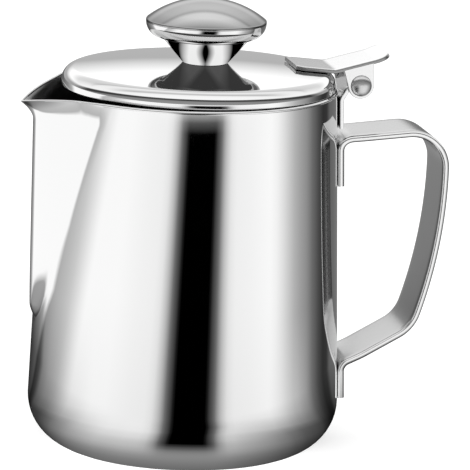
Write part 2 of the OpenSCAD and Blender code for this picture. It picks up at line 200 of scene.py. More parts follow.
def place_piece(piece, material, node, body):
    piece.data.materials.clear()
    piece.data.materials.append(material)
    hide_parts(node)
    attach(piece, body)


def second_finish(piece, material, has_it):
    piece.data.materials.append(material)
    for face in piece.data.polygons:
        if has_it(face):
            face.material_index = 1


# The lip's side has steps of half a degree, and the rest steps of two degrees.
fine_to = 52
shell_angles = np.radians(np.concatenate([np.arange(-fine_to, fine_to, 0.5),
                                          np.arange(fine_to, 360 - fine_to, 2.0)]))
signed = (shell_angles + pi) % (2 * pi) - pi


def shell_ring(r, z):
    return [Vector((-a * cos(t), -a * sin(t), b)) for t, a, b in
            zip(shell_angles, np.broadcast_to(r, signed.shape), np.broadcast_to(z, signed.shape))]


foot_steps = 14
bead_steps = 26
wall_shares = np.unique(np.concatenate([np.linspace(0, 0.2, 6), np.linspace(0.2, 0.36, 28),
                                        np.linspace(0.36, 0.92, 40), np.linspace(0.92, 1, 26)]))


def foot_ring(k, r):
    turn = -pi / 2 + pi / 2 * k / foot_steps
    return shell_ring(base_r - corner_r + r * cos(turn), corner_r + r * sin(turn))


shell = [foot_ring(k, corner_r) for k in range(foot_steps)]
for share in wall_shares:
    shell.append(shell_ring(*wall_spot(signed, share)))
bead_size = edge_bead(signed)
bead_from = -np.arccos(np.clip(sheet_t / 2 / bead_size, 0, 1))
for k in range(1, bead_steps):
    turn = bead_from + (pi - 2 * bead_from) * k / bead_steps
    shell.append(shell_ring(edge_r(signed) - sheet_t / 2 + bead_size * np.cos(turn),
                            edge_z(signed) + bead_size * np.sin(turn)))
inside_from = len(shell) * len(shell_angles)
for share in wall_shares[::-1]:
    r, z = wall_spot(signed, share)
    shell.append(shell_ring(r - sheet_t, z))
shell += [foot_ring(k, corner_r - sheet_t) for k in range(foot_steps - 1, -1, -1)]
jug = smooth_mesh("drawn_jug", shell)
mirror_steel = polished_steel("mirror_buffed_stainless", "#d1d1d1", 0.015, 0.05, 0.25)
place_piece(jug, mirror_steel, "jug_body", "jug")
# The inside is left as the press leaves it, with a soft grain that scatters the light. Its darker colour is
# painted shade inside the jug.
drawn_steel_painted_shade = polished_steel("drawn_inside_steel_painted_shade", "#a2a2a2", 0.26, 0.34, 0.3)
second_finish(jug, drawn_steel_painted_shade, lambda face: face.index >= inside_from)


# ---- Handle ----
# A strip of stainless steel, 23.6 mm wide and 2.3 mm thick, with its edges ground round. It is bent
# into a D, and its two flanges are curved to the wall and spot-welded there.
handle_w = 0.0236
handle_t = 0.0023
handle_edge_r = 0.00105
handle_drop = 0.032
finger_gap = 0.0335
upper_flange_h = 0.012
lower_flange_h = 0.009
arm_rise = radians(4.9)
heel_slope = radians(28.7)
grip_r = 0.160
grip_h = 0.050
flange_bend_r = 0.004
corner_bend_r = 0.012
heel_bend_r = 0.013
hug_reach = 0.007
weld_gap = 0.00008
wall_lean = atan((base_r - rim_wall_r) / wall_h)


def along(angle):
    return np.array([cos(angle), sin(angle)])


def left_of(angle):
    return np.array([-sin(angle), cos(angle)])


def turned(at, heading, r, turn):
    side = 1 if turn > 0 else -1
    return at + side * r * (left_of(heading) - left_of(heading + turn)), heading + turn


def trace(pieces, at, heading, step=0.0015):
    # Follows runs and bends in one plane, and returns places and headings along them.
    at = np.array(at, float)
    spots = [(at, heading)]
    for kind, size, *turn in pieces:
        if kind == "run":
            n = max(1, round(size / step))
            spots += [(at + size * k / n * along(heading), heading) for k in range(1, n + 1)]
        else:
            n = max(6, round(abs(degrees(turn[0])) / 4), round(size * abs(turn[0]) / step))
            spots += [turned(at, heading, size, turn[0] * k / n) for k in range(1, n + 1)]
        at, heading = spots[-1]
    return spots


def strip_section(w, t, edge, across=10, round_steps=8):
    # Outline of a strip's cross-section: flat faces and edges rounded by the radius edge.
    outline = []
    corners = [(w / 2 - edge, -t / 2 + edge, -90), (w / 2 - edge, t / 2 - edge, 0),
               (-w / 2 + edge, t / 2 - edge, 90), (-w / 2 + edge, -t / 2 + edge, 180)]
    for i, (y, n, start) in enumerate(corners):
        turns = [radians(start + 90 * k / round_steps) for k in range(round_steps + 1)]
        arc = [(y + edge * cos(turn), n + edge * sin(turn)) for turn in turns]
        outline += arc
        if i % 2:
            far = corners[(i + 1) % 4][0]
            outline += [(arc[-1][0] + (far - y) * k / across, arc[-1][1]) for k in range(1, across)]
    return outline


def swept_strip(name, path, section):
    # Carries a cross-section along a path. The section may change on the way.
    rings = []
    for i, (at, heading) in enumerate(path):
        spots = [(y, at + n * left_of(heading)) for y, n in section(i)]
        rings.append([Vector((spot[0], y, spot[1])) for y, spot in spots])
    return smooth_mesh(name, rings)


def on_wall_x(z, t):
    return wall_r(z) + weld_gap + t / 2


def sag(y, r):
    return r - sqrt(max(r * r - y * y, 0))


flange_from_z = rim_z - handle_drop
grip_turn = asin(grip_h / grip_r)
up_wall = pi / 2 + wall_lean
start = np.array([on_wall_x(flange_from_z, handle_t), flange_from_z])
upper = turned(start + upper_flange_h * along(up_wall), up_wall, flange_bend_r, arm_rise - up_wall)
corner = turned(np.zeros(2), arm_rise, corner_bend_r, -pi / 2 - arm_rise)
arm_l = (base_r + finger_gap - upper[0][0] - corner[0][0]) / cos(arm_rise)
grip_from = upper[0] + arm_l * along(arm_rise) + corner[0]
grip_to = turned(grip_from, -pi / 2, grip_r, -grip_turn)
heel = turned(grip_to[0], grip_to[1], heel_bend_r, -(pi / 2 - heel_slope - grip_turn))
toe_turn = pi / 2 - heel_slope + wall_lean
toe = turned(np.zeros(2), heel_slope - pi, flange_bend_r, toe_turn)
heel_l = ((heel[0][0] + toe[0][0] - on_wall_x(heel[0][1] + toe[0][1], handle_t))
          / (cos(heel_slope) + sin(heel_slope) * tan(wall_lean)))
handle_path = trace([("run", upper_flange_h), ("bend", flange_bend_r, arm_rise - up_wall), ("run", arm_l),
                     ("bend", corner_bend_r, -pi / 2 - arm_rise), ("bend", grip_r, -grip_turn),
                     ("bend", heel_bend_r, -(pi / 2 - heel_slope - grip_turn)), ("run", heel_l),
                     ("bend", flange_bend_r, toe_turn), ("run", lower_flange_h)], start, up_wall)
handle_rings = []
for at, heading in handle_path:
    hug = float(ease(1 - (at[0] - on_wall_x(at[1], handle_t)) / hug_reach))
    ring = []
    for y, n in strip_section(handle_w, handle_t, handle_edge_r):
        spot = at + n * left_of(heading)
        ring.append(Vector((spot[0] - hug * sag(y, wall_r(spot[1])), y, spot[1])))
    handle_rings.append(ring)
handle = smooth_mesh("bent_strip_handle", handle_rings)
# The strip is buffed with a coarser wheel than the body, so what it reflects is softer.
strip_steel = polished_steel("buffed_strip_steel", "#cfcfcf", 0.10, 0.16, 0.2)
place_piece(handle, strip_steel, "handle", "jug")


def graded(material, measure, stops):
    # Lets a steel's tone change along a measure of the piece
    tree = material.node_tree
    tones = add_node(tree, "ShaderNodeValToRGB", {"Fac": measure}, stops)
    tree.links.new(tones.outputs["Color"], tree.nodes["Principled BSDF"].inputs["Base Color"])


# The strip's flats are ground with a belt, so they are duller than its polished edges. Low on the
# handle the flats are given a lighter colour: painted light on the lower arm.
belt_steel_painted_lower_light = polished_steel("belt_ground_steel_painted_lower_light", "#a8a8a8", 0.14, 0.20, 0.2)
place = add_node(belt_steel_painted_lower_light.node_tree, "ShaderNodeTexCoord").outputs["Object"]
height = add_node(belt_steel_painted_lower_light.node_tree, "ShaderNodeSeparateXYZ", {"Vector": place}).outputs["Z"]
# Below 38 mm the flats turn lighter: painted light on the lower arm.
graded(belt_steel_painted_lower_light, height, [(0.038, linear("#d2d2d2")), (0.047, linear("#a8a8a8"))])
second_finish(handle, belt_steel_painted_lower_light, lambda face: abs(face.normal.y) < 0.35)


# ---- Hinge bracket ----
# A narrower strip, spot-welded under the rim. It leans out of the wall, and its end is rolled
# into the barrel that the pin turns in.
pin_out = 0.0069
pin_up = 0.0021
pin_r = 0.00175
turn_gap = 0.00006
leaf_w = 0.021
leaf_t = 0.0013
ear_gap = 0.0003
bracket_t = 0.0014
bracket_edge_r = 0.0003
bracket_h = 0.010
bracket_drop = 0.0028
bracket_bend_r = 0.003
barrel_turn = radians(305)
pin_at = np.array([rim_wall_r + pin_out, rim_z + pin_up])
barrel_l = leaf_w - 2 * leaf_t - 2 * ear_gap
barrel_mid_r = pin_r + turn_gap + bracket_t / 2
knee = np.array([on_wall_x(rim_z - bracket_drop, bracket_t), rim_z - bracket_drop])
to_pin = pin_at - knee
reach = float(np.hypot(*to_pin))
lean_out = atan2(to_pin[1], to_pin[0]) + asin(barrel_mid_r / reach)
knee_turn = lean_out - up_wall
knee_cut = bracket_bend_r * tan(-knee_turn / 2)
bracket_path = trace([("run", bracket_h - knee_cut), ("bend", bracket_bend_r, knee_turn),
                      ("run", sqrt(reach ** 2 - barrel_mid_r ** 2) - knee_cut),
                      ("bend", barrel_mid_r, -barrel_turn)],
                     knee - bracket_h * along(up_wall), up_wall, step=0.0008)
bracket = swept_strip("rolled_hinge_bracket", bracket_path,
                      lambda i: strip_section(barrel_l, bracket_t, bracket_edge_r))
place_piece(bracket, strip_steel, "hinge_bracket", "jug")


# ---- Lid cover ----
# A shallow dome spun from sheet, its shoulder rounded down to a plain edge. It sits a little nearer
# to the hinge than the jug's middle, so that the lip stays open in front of it.
lid_r = 0.046
lid_shift = 0.0024
lid_rise = 0.0013
lid_edge_r = 0.004
lid_edge_h = 0.00115
lid_hole_r = 0.00205
shoulder_join = 0.0004
dome_rise = 0.0022
lid_z = rim_z + bead_r + lid_rise
dome_edge_r = lid_r - lid_edge_r
dome_ball_r = (dome_edge_r ** 2 + dome_rise ** 2) / (2 * dome_rise)
edge_slope = asin(dome_edge_r / dome_ball_r)
shoulder_r = lid_edge_r / (1 - sin(edge_slope))
dome_edge_z = lid_z + shoulder_r * cos(edge_slope)
dome_top_z = dome_edge_z + dome_rise


def dome_z(r):
    return dome_top_z - dome_ball_r + sqrt(dome_ball_r ** 2 - r * r)


def strip_outline(spots, t):
    left = [at + t / 2 * left_of(heading) for at, heading in spots]
    right = [at - t / 2 * left_of(heading) for at, heading in spots]
    return left + right[::-1]


def ring_spots(x, r, steps):
    return [(x + r * cos(2 * pi * k / steps), r * sin(2 * pi * k / steps)) for k in range(steps)]


def spun(name, outline, x):
    # Turns an outline of radius and height round an upright axis at x.
    rings = [[Vector((*spot, z)) for spot in ring_spots(x, r, 256)] for r, z in outline]
    return smooth_mesh(name, rings + [rings[0]], caps=False)


shoulder_from = np.array([dome_edge_r, dome_edge_z]) - sheet_t / 2 * left_of(-edge_slope)
shoulder_path = trace([("bend", shoulder_r - sheet_t / 2, edge_slope - pi / 2), ("run", lid_edge_h)],
                      shoulder_from, -edge_slope, step=0.0002)
dome_path = [(np.array([r, dome_z(r) - sheet_t / 2]), -asin(r / dome_ball_r))
             for r in np.linspace(lid_hole_r, dome_edge_r - shoulder_join, 40)]
cover = spun("spun_lid_cover", strip_outline(dome_path + shoulder_path, sheet_t), lid_shift)
# Spinning leaves the sheet flatter than drawing does, and its buffed mirror has a little more haze.
lid_steel = polished_steel("mirror_spun_stainless", "#d1d1d1", 0.02, 0.06, 0.15)
place_piece(cover, lid_steel, "lid_cover", "lid")


# ---- Lid skirt ----
# A plain ring inside the cover, which keeps the closed lid in the mouth. Only a thin sickle of it
# shows, between the lid and the open lip.
skirt_inset = 0.0024
skirt_depth = 0.0017
skirt_r = lid_r - skirt_inset
skirt_low = lid_z - skirt_depth
skirt_top = lid_z + sqrt((shoulder_r - sheet_t) ** 2 - (shoulder_r - skirt_inset) ** 2) - weld_gap
skirt = spun("lid_ring", [(skirt_r - sheet_t, skirt_low), (skirt_r, skirt_low), (skirt_r, skirt_top),
                          (skirt_r - sheet_t, skirt_top)], lid_shift)
place_piece(skirt, lid_steel, "lid_skirt", "lid")


# ---- Lid leaf ----
# A plate that is spot-welded to the lid and rises over the hinge to a thumb end. Two ears are bent
# down from its sides and hold the pin. Its end on the lid is cut to an ogee.
leaf_lap = 0.0134
leaf_inset = 0.0015
leaf_slope = radians(14)
leaf_bend_r = 0.005
leaf_run = 0.013
leaf_edge_r = 0.00035
thumb_r = 0.016
thumb_turn = radians(20)
thumb_corner = 0.0028
ogee_l = 0.003
ogee_w = 0.86
ear_r = 0.0044
ear_edge_r = 0.0002
ear_front_reach = 1.4 * ear_r
ear_back_reach = 0.95 * ear_r
ear_steps = 32
lap_mid_r = lid_r - leaf_inset - leaf_lap / 2
lap_slope = -asin(lap_mid_r / dome_ball_r)
leaf_cut = leaf_bend_r * tan((leaf_slope - lap_slope) / 2)
leaf_from = (np.array([lid_shift + lap_mid_r, dome_z(lap_mid_r) + weld_gap + leaf_t / 2])
             - leaf_lap / 2 * along(lap_slope))
leaf_path = trace([("run", leaf_lap - leaf_cut), ("bend", leaf_bend_r, leaf_slope - lap_slope),
                   ("run", leaf_run), ("bend", thumb_r, thumb_turn)], leaf_from, lap_slope, step=0.0004)
leaf_steps = [float(np.hypot(*(b[0] - a[0]))) for a, b in zip(leaf_path, leaf_path[1:])]


def leaf_section(i):
    gone = sum(leaf_steps[:i])
    ogee = ogee_w + (1 - ogee_w) * float(ease(gone / ogee_l))
    into_corner = max(0.0, 1 - (sum(leaf_steps) - gone) / thumb_corner)
    w = leaf_w * ogee - 2 * thumb_corner * (1 - sqrt(1 - into_corner ** 2))
    return strip_section(w, leaf_t, leaf_edge_r)


leaf = swept_strip("thumb_leaf", leaf_path, leaf_section)
leaf_knee = leaf_from + leaf_lap * along(lap_slope)


def leaf_spot(x):
    return leaf_knee + (x - leaf_knee[0]) / cos(leaf_slope) * along(leaf_slope)


def touch_angle(spot, side):
    # Angle on the ear's round end at which a straight edge from spot meets it.
    gap = pin_at - spot
    d = float(np.hypot(*gap))
    heading = atan2(gap[1], gap[0]) + side * asin(ear_r / d)
    meet = spot + sqrt(d * d - ear_r ** 2) * along(heading) - pin_at
    return atan2(meet[1], meet[0])


ear_front = leaf_spot(pin_at[0] - ear_front_reach)
ear_back = leaf_spot(pin_at[0] + ear_back_reach)
turn_from, turn_to = touch_angle(ear_front, -1), touch_angle(ear_back, 1)
if turn_to < turn_from:
    turn_to += 2 * pi
ear_turns = [turn_from + (turn_to - turn_from) * k / ear_steps for k in range(ear_steps + 1)]
ear_outline = [ear_front] + [pin_at + ear_r * along(turn) for turn in ear_turns] + [ear_back]
for side, name in ((-1, "near_ear"), (1, "far_ear")):
    faces = [side * (leaf_w / 2 - leaf_t), side * leaf_w / 2]
    ear = smooth_mesh(name, [[Vector((p[0], y, p[1])) for p in ear_outline] for y in faces], sharp=0.5)
    bevel = ear.modifiers.new("ground edge", "BEVEL")
    bevel.width = ear_edge_r
    bevel.segments = 3
    bevel.limit_method = "ANGLE"
    place_piece(ear, strip_steel, "lid_leaf", "lid")
place_piece(leaf, strip_steel, "lid_leaf", "lid")
# The blanking tool leaves the plate's edges dull. Their darker colour is painted shade on the plate's edges
# and ends.
cut_steel_painted_shade = polished_steel("blanked_edge_steel_painted_shade", "#8e8e8e", 0.28, 0.36, 0.3)
second_finish(leaf, cut_steel_painted_shade, lambda face: abs(face.normal.y) > 0.55 or len(face.vertices) > 4)


# ---- Hinge pin ----
# A turned rivet through both ears and the barrel, with a domed head on each side. It is tumbled
# after turning, which leaves a soft, even shine.
pin_head_r = 0.0036
pin_head_h = 0.0018
head_steps = 12
head_turns = [pi / 2 * k / head_steps for k in range(1, head_steps + 1)]
near_head = [(pin_head_r * sin(turn), -leaf_w / 2 - pin_head_h * cos(turn)) for turn in head_turns]
far_head = [(r, -h) for r, h in near_head[::-1]]
pin_outline = near_head + [(pin_r, -leaf_w / 2), (pin_r, leaf_w / 2)] + far_head
pin = smooth_mesh("domed_rivet", [[Vector((x, h, pin_at[1] + up)) for x, up in ring_spots(pin_at[0], r, 96)]
                                  for r, h in pin_outline])
rivet_steel = polished_steel("tumbled_rivet_steel", "#bcbcbc", 0.24, 0.30, 0.3)
place_piece(pin, rivet_steel, "hinge_pin", "lid")


# ---- Knob body ----
# A hollow knob spun from sheet: a round foot, a cone that opens upwards, and a rounded rim. It
# stands on the dome, a little nearer to the hinge than the lid's middle.
knob_shift = 0.0019
foot_r = 0.0082
foot_flat_r = foot_r - 0.0014
foot_bend_r = 0.0008
foot_bend_from = foot_r - 0.0012
cone_h = 0.0084
cone_r = 0.0151
disc_r = 0.0202
disc_h = 0.0053
rim_share = 0.94
boss_r = 0.005
boss_gap = 0.00002
knob_x = lid_shift + knob_shift
cone_slope = atan(cone_h / (cone_r - foot_r))
disc_ball_r = ((disc_r - cone_r) ** 2 + disc_h ** 2) / (2 * (disc_r - cone_r))
disc_z = dome_top_z + cone_h + disc_h
disc_turn = acos(1 - (disc_r - cone_r) / disc_ball_r)
foot_mid_z = dome_top_z + sheet_t / 2
rim_middle = np.array([disc_r - disc_ball_r, disc_z])
foot_path = ([(np.array([boss_r + boss_gap, foot_mid_z]), 0.0), (np.array([foot_flat_r, foot_mid_z]), 0.0)]
             + trace([("bend", foot_bend_r, cone_slope)], [foot_bend_from, foot_mid_z], 0.0))
cone_top = (np.array([cone_r - sheet_t, dome_top_z + cone_h]), cone_slope)
rim_path = [(rim_middle + (disc_ball_r - sheet_t / 2) * along(t), pi / 2 + t)
            for t in np.linspace(-disc_turn * rim_share, 0, 20)]
knob_path = foot_path + [cone_top] + rim_path
knob = spun("spun_knob", strip_outline(knob_path, sheet_t), knob_x)
place_piece(knob, lid_steel, "knob_body", "lid")


# ---- Knob cap ----
# A domed cap of the same sheet, pressed over the open top of the knob. Its edge is ground down to
# meet the knob and then buffed. Its colour darkens towards the edge: painted shade round its rim.
cap_rise = 0.0071
cap_edge_r = 0.0007
cap_edge_drop = 0.0002
cap_seat = 0.00005
axis_hole_r = 1e-5
cap_ball_r = (disc_r ** 2 + cap_rise ** 2) / (2 * cap_rise)
cap_outline = [(r, disc_z + cap_rise - cap_ball_r + sqrt(cap_ball_r ** 2 - r * r) + sheet_t)
               for r in np.linspace(axis_hole_r, disc_r - cap_edge_r, 60)]
edge_from = cap_outline[-1]
cap_outline += [(edge_from[0] + cap_edge_r * sin(t),
                 edge_from[1] - cap_edge_drop - cap_edge_r * (1 - cos(t)))
                for t in np.linspace(0.6, pi / 2, 8)]
cap_outline += [(disc_r, disc_z + cap_seat), (axis_hole_r, disc_z + cap_seat)]
cap = spun("domed_knob_cap", cap_outline, knob_x)


def from_knob_axis(tree):
    # A point's place and its distance, both counted from the knob's axis
    place = add_node(tree, "ShaderNodeTexCoord").outputs["Object"]
    moved = add_node(tree, "ShaderNodeVectorMath", {0: place, 1: (knob_x, 0, 0)}, operation="SUBTRACT")
    level = add_node(tree, "ShaderNodeVectorMath", {0: moved, 1: (1, 1, 0)}, operation="MULTIPLY")
    radius = add_node(tree, "ShaderNodeVectorMath", {0: level}, operation="LENGTH")
    return moved.outputs["Vector"], radius.outputs["Value"]


cap_steel_painted_edge_shade = polished_steel("buffed_cap_steel_painted_edge_shade", "#d0d0d0", 0.04, 0.09, 0.0)
# The grey tint and the ramp from the knob's axis darken the cap towards its rim: painted shade.
cap_steel_painted_edge_shade.node_tree.nodes["Principled BSDF"].inputs["Specular Tint"].default_value = linear("#bababa")
outward = add_node(cap_steel_painted_edge_shade.node_tree, "ShaderNodeMapRange", {
    "Value": from_knob_axis(cap_steel_painted_edge_shade.node_tree)[1], "From Max": disc_r})
graded(cap_steel_painted_edge_shade, outward, [(0.0, linear("#d0d0d0")), (0.5, linear("#cdcdcd")),
                            (0.8, linear("#bcbcbc")), (1.0, linear("#989898"))])
place_piece(cap, cap_steel_painted_edge_shade, "knob_cap", "lid")


# ---- Screw, washer and boss ----
# Turned steel pieces inside the knob and under the lid. They are left as they come from the lathe,
# so they have fine rings and a dull shine.
mark_gap = 0.00157
wave_turns = 20 / (2 * pi)  # waves to a metre at scale 1


def turned_steel(name, colour, x):
    # Stainless steel bar. Its tool marks are drawn 1.6 mm apart, coarser than real ones, so that
    # they show.
    material, tree = blank_material(name)
    place = add_node(tree, "ShaderNodeTexCoord").outputs["Object"]
    centred = add_node(tree, "ShaderNodeMapping", {"Vector": place, "Location": (-x, 0, 0)})
    wave = add_node(tree, "ShaderNodeTexWave", {
        "Vector": centred, "Scale": 1 / mark_gap / wave_turns, "Distortion": 0.4},
        wave_type="RINGS", rings_direction="Z")
    marks = wave.outputs["Fac"]
    rough = add_node(tree, "ShaderNodeMapRange", {"Value": marks, "To Min": 0.28, "To Max": 0.42})
    bump = add_node(tree, "ShaderNodeBump", {"Height": marks, "Strength": 0.3, "Distance": fine_relief})
    steel = add_node(tree, "ShaderNodeBsdfPrincipled", {
        "Base Color": linear(colour), "Metallic": 1.0, "Roughness": rough, "Normal": bump})
    add_node(tree, "ShaderNodeOutputMaterial", {"Surface": steel})
    return material


lathe_steel = turned_steel("lathe_turned_steel", "#b9b8b4", knob_x)
for node in ("knob_boss", "knob_screw", "knob_washer"):
    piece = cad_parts[node]
    piece.data.materials.clear()
    piece.data.materials.append(lathe_steel)


# ---- Studio ----
# A white table in a tent of white cloth, seen through a long lens. Polished steel shows what is dark
# in the tent: the gap for the lens, a fold that slants down to the left, the dim back, a grey band
# over the low cloth, and a strip in the roof.
camera_turn = 0.19566
camera_rise = 0.21716
distance = 1.5
target_z = 0.060
pan, pitch, roll = 0.01073, 0.00804, 0.03291
focal_pixels = 4444.49
photo_pixels = 470
tent_glow = 1.48
tent_ring_r = 0.17
tent_ring_h = 0.124
mottle = 0.0167


def round_jug(tree, place):
    # Angle round the jug as a share of a turn: 0.5 is towards the lens, and more is to its right.
    swung = add_node(tree, "ShaderNodeVectorRotate", {"Vector": place, "Angle": camera_turn},
                     rotation_type="Z_AXIS")
    flat = add_node(tree, "ShaderNodeSeparateXYZ", {"Vector": swung})
    front = add_node(tree, "ShaderNodeMath", {0: flat.outputs["Y"], 1: -1.0}, operation="MULTIPLY")
    angle = add_node(tree, "ShaderNodeMath", {0: flat.outputs["X"], 1: front}, operation="ARCTAN2")
    share = add_node(tree, "ShaderNodeMapRange", {"Value": angle, "From Min": -pi, "From Max": pi})
    return share, front, flat


def at_degrees(d):
    return 0.5 + d / 360


def tones_at(*pairs):
    return [(at_degrees(d), tone) for d, tone in pairs]


def from_leaning_line(tree, share, z, at_table, per_metre):
    # The same angle, counted from a line that leans by so many degrees for each metre of height
    lean = add_node(tree, "ShaderNodeMath", {0: z, 1: -per_metre / 360, 2: -at_table / 360},
                    operation="MULTIPLY_ADD")
    return add_node(tree, "ShaderNodeMath", {0: share, 1: lean}, operation="ADD")


def low_wall(tree, place, gap_shows, near=0.0):
    # What the steel sees near the table, all round the jug. The share gap_shows fades the gap in, and
    # near is 1 on the table at the jug's foot.
    share, _, flat = round_jug(tree, place)
    z = flat.outputs["Z"]
    # The cloth is bright in front and at the left, and dimmer to the right and behind.
    sides = add_node(tree, "ShaderNodeValToRGB", {"Fac": share}, tones_at(
        (-180, 0.30), (-164, 0.06), (-145, 0.09), (-127, 0.25), (-119, 0.42), (-113, 1.0), (57, 1.0),
        (62, 0.93), (67, 0.79), (72, 0.63), (77.6, 0.47), (83.6, 0.365), (90, 0.28), (97, 0.15),
        (105, 0.07), (112, 0.03), (119, 0.035), (125, 0.115), (142, 0.14), (157, 0.16)))
    # Right behind, the handle shows a lighter stretch of it.
    back = add_node(tree, "ShaderNodeValToRGB", {"Fac": z}, [
        (0.0, 0.45), (0.03, 0.38), (0.05, 0.26), (0.068, 0.27), (0.082, 0.55), (0.10, 0.65)])
    to_back = add_node(tree, "ShaderNodeMapRange", {
        "Value": share, "From Min": at_degrees(157), "From Max": at_degrees(163)})
    walls = add_node(tree, "ShaderNodeMapRange", {"Value": to_back, "To Min": sides, "To Max": back})
    # The gap, in front, leans a little and is wider at its foot.
    leaning = from_leaning_line(tree, share, z, 4.7, 33)
    beside = add_node(tree, "ShaderNodeMath", {0: near, 1: 2.5 / 360, 2: leaning}, operation="MULTIPLY_ADD")
    from_middle = add_node(tree, "ShaderNodeMath", {0: beside, 1: 0.5}, operation="SUBTRACT")
    widening = add_node(tree, "ShaderNodeMath", {0: near, 1: 0.19, 2: 0.91}, operation="MULTIPLY_ADD")
    narrowing = add_node(tree, "ShaderNodeMath", {0: z, 1: 1.57, 2: widening}, operation="MULTIPLY_ADD")
    across_gap = add_node(tree, "ShaderNodeMath", {0: from_middle, 1: narrowing}, operation="MULTIPLY")
    to_gap = add_node(tree, "ShaderNodeMath", {0: across_gap}, operation="ABSOLUTE")
    open_gap = add_node(tree, "ShaderNodeValToRGB", {"Fac": to_gap}, [(d / 360, tone) for d, tone in (
        (9, 0.0), (9.9, 0.012), (13.7, 0.13), (17.5, 0.54), (21.4, 0.83), (25.4, 0.91), (36, 0.94),
        (50, 1.0))])
    gap = add_node(tree, "ShaderNodeMapRange", {"Value": gap_shows, "To Min": 1.0, "To Max": open_gap})
    # A fold in the cloth slants down to the left. Its grey shows beside each crease of the lip.
    slanting = from_leaning_line(tree, share, z, -84, 275)
    fold = add_node(tree, "ShaderNodeValToRGB", {"Fac": slanting}, tones_at(
        (-90, 0.06), (-62, 0.10), (-45, 0.27), (-31, 0.38), (-22, 0.47), (-15.5, 0.53), (-9.5, 0.61),
        (-3.7, 0.75), (2, 0.91), (6, 1.0)))
    fold_edge = add_node(tree, "ShaderNodeValToRGB", {"Fac": z}, [(level, at_degrees(d)) for level, d in (
        (0.0, -127), (0.021, -114), (0.030, -105), (0.039, -100.5), (0.058, -90.5), (0.094, -80),
        (0.12, -72))])
    past_edge = add_node(tree, "ShaderNodeMath", {0: share, 1: fold_edge}, operation="SUBTRACT")
    fold_shows = add_node(tree, "ShaderNodeMapRange", {
        "Value": past_edge, "From Min": -2 / 360, "From Max": 2 / 360})
    folded = add_node(tree, "ShaderNodeMapRange", {"Value": fold_shows, "To Min": 1.0, "To Max": fold})
    # Close to the table the cloth is dimmer on the left and lighter on the right.
    foot = add_node(tree, "ShaderNodeValToRGB", {"Fac": share}, tones_at(
        (-139, 0.37), (-124, 0.42), (-113, 0.56), (-104, 0.68), (-90, 0.77), (-78, 0.87), (-60, 1.0),
        (62, 1.0), (72, 1.12), (82, 1.3), (92, 1.25), (105, 1.0)))
    rise = add_node(tree, "ShaderNodeMapRange", {
        "Value": z, "From Max": 0.03, "To Min": foot, "To Max": 1.0})
    cloth = add_node(tree, "ShaderNodeMath", {0: walls, 1: gap}, operation="MULTIPLY")
    draped = add_node(tree, "ShaderNodeMath", {0: folded, 1: rise}, operation="MULTIPLY")
    return add_node(tree, "ShaderNodeMath", {0: cloth, 1: draped}, operation="MULTIPLY")


def studio_mesh(name, points, faces, material):
    mesh = bpy.data.meshes.new(name)
    mesh.from_pydata(points, [], faces)
    mesh.materials.append(material)
    thing = bpy.data.objects.new(name, mesh)
    bpy.context.scene.collection.objects.link(thing)
    return thing


def show_in_steel_only(thing):
    thing.visible_camera = False
    thing.visible_diffuse = False
    thing.visible_shadow = False
    thing.visible_transmission = False


def round_band(lower, upper, steps=180):
    # Points and faces of a band between two rings, each given by its middle, radius and height.
    points = [(*spot, z) for x, r, z in (lower, upper) for spot in ring_spots(x, r, steps)]
    faces = [(k, (k + 1) % steps, steps + (k + 1) % steps, steps + k) for k in range(steps)]
    return points, faces


# The table is matt white laminate, with a faint mottle 17 mm across. The lens sees it lifted to white,
# and steel sees the tent's foot on it, darkened by the jug's own shadow.
floor_paint, tree = blank_material("matt_white_laminate")
place = add_node(tree, "ShaderNodeTexCoord").outputs["Object"]
grain = add_node(tree, "ShaderNodeTexNoise", {"Vector": place, "Scale": 1 / mottle})
tone = add_node(tree, "ShaderNodeMapRange", {"Value": grain, "To Min": 0.86, "To Max": 0.88})
matt = add_node(tree, "ShaderNodeBsdfDiffuse", {"Color": tone})
lift = add_node(tree, "ShaderNodeEmission", {"Color": (1, 1, 1, 1), "Strength": 0.40})
lifted = add_node(tree, "ShaderNodeAddShader", {0: matt, 1: lift})
from_axis = add_node(tree, "ShaderNodeVectorMath", {0: place}, operation="LENGTH").outputs["Value"]
shade = add_node(tree, "ShaderNodeValToRGB", {"Fac": from_axis}, [
    (0.036, 0.06), (0.049, 0.24), (0.057, 0.52), (0.074, 0.78), (0.10, 0.91), (0.127, 0.96),
    (tent_ring_r, 0.95)])
near_foot = add_node(tree, "ShaderNodeMapRange", {"Value": from_axis, "From Min": 0.13, "From Max": 0.06})
aside = add_node(tree, "ShaderNodeValToRGB", {"Fac": round_jug(tree, place)[0]}, tones_at(
    (-97, 0.16), (-80, 0.25), (-68, 0.43), (-58, 0.63), (-50, 0.77), (-42, 0.90), (-28, 1.0), (15, 0.98),
    (22, 0.90), (30, 0.74), (37, 0.62), (43, 0.52), (50, 0.40), (60, 0.26), (70, 0.20)))
close_by = add_node(tree, "ShaderNodeMapRange", {
    "Value": from_axis, "From Min": 0.074, "From Max": tent_ring_r, "To Min": aside, "To Max": 1.0})
shaded = add_node(tree, "ShaderNodeMath", {0: shade, 1: close_by}, operation="MULTIPLY")
past_foot = add_node(tree, "ShaderNodeValToRGB", {"Fac": from_axis}, [
    (0.049, 0.0), (0.060, 0.9), (0.066, 1.0)])
